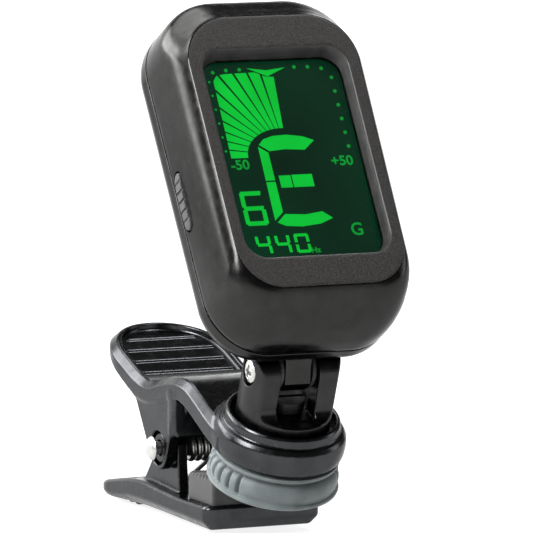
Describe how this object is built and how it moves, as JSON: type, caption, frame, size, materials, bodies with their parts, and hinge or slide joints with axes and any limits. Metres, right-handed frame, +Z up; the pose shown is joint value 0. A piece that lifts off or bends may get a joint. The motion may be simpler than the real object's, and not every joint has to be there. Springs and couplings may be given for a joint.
{
  "type": "clip-on instrument tuner",
  "caption": "Clip-on tuner: display head on a tilting, swivelling yoke over a sprung clip with rubber-faced jaws.",
  "frame": {"origin": "the middle of the jaws' grip, between the two pads", "axes": "+Z up with the clip level, -Y towards the display side and the jaws' mouth, +X along the jaw pin and the display's width"},
  "size_m": [0.0292, 0.0618, 0.0725],
  "materials": {
    "casing_black": "fine-textured satin black ABS",
    "clip_black": "smoother, glossier black plastic",
    "grey_rubber": "matt greenish grey rubber",
    "dark_rubber": "matt black rubber",
    "bright_steel": "bright nickel-plated steel",
    "clear_lens": "clear polished acrylic",
    "lcd_glass": "negative display glass lit green",
    "board_green": "green solder mask",
    "brass": "bare brass",
    "washer_nylon": "natural nylon",
    "backlight_white": "white diffusing plastic"
  },
  "bodies": {
    "upper_clip": {"upper_jaw": "clip_black", "upper_pad": "grey_rubber", "pivot_pin": "bright_steel", "pin_retainer": "bright_steel", "torsion_spring": "bright_steel"},
    "lower_clip": {"lower_jaw": "clip_black", "lower_pad": "dark_rubber"},
    "swivel_yoke": {"yoke": "casing_black", "hinge_screw": "bright_steel", "hinge_nut": "bright_steel", "friction_washer_left": "washer_nylon", "friction_washer_right": "washer_nylon", "swivel_screw": "bright_steel", "swivel_washer": "washer_nylon", "spring_washer": "bright_steel", "swivel_nut": "bright_steel"},
    "head": {"front_casing": "casing_black", "rear_cover": "casing_black", "case_screw_top_left": "bright_steel", "case_screw_top_right": "bright_steel", "case_screw_low_left": "bright_steel", "case_screw_low_right": "bright_steel", "window_lens": "clear_lens", "lcd_panel": "lcd_glass", "backlight_tray": "backlight_white", "circuit_board": "board_green", "button_switch": "bright_steel", "vibration_pickup": "brass", "coin_battery": "bright_steel", "battery_holder": "casing_black", "negative_contact": "brass", "positive_contact": "brass"},
    "button": {"power_button": "casing_black"},
    "door": {"battery_door": "casing_black"}
  },
  "joints": [
    {"name": "jaw_open", "type": "hinge", "parent": "upper_clip", "child": "lower_clip", "pos_m": [0, 0.014, 0.0011], "axis": [1, 0, 0], "range_deg": [0, 32], "stiffness_Nm_per_rad": 0.12, "springref_deg": -34.38, "deforming": ["torsion_spring"]},
    {"name": "head_swivel", "type": "hinge", "parent": "upper_clip", "child": "swivel_yoke", "pos_m": [0, -0.0085, 0.0086], "axis": [0, -0.3518, 0.9361], "continuous": true},
    {"name": "head_tilt", "type": "hinge", "parent": "swivel_yoke", "child": "head", "pos_m": [0, -0.01087, 0.01492], "axis": [1, 0, 0], "range_deg": [-37, 22]},
    {"name": "power_press", "type": "slide", "parent": "head", "child": "button", "axis": [1, 0, 0], "range_m": [0, 0.00035], "stiffness_N_per_m": 2500, "springref_m": -0.0003},
    {"name": "battery_door_twist", "type": "hinge", "parent": "head", "child": "door", "pos_m": [0, 0.00003, 0.03761], "axis": [0, 0.8434, -0.5373], "range_deg": [0, 40]}
  ]
}
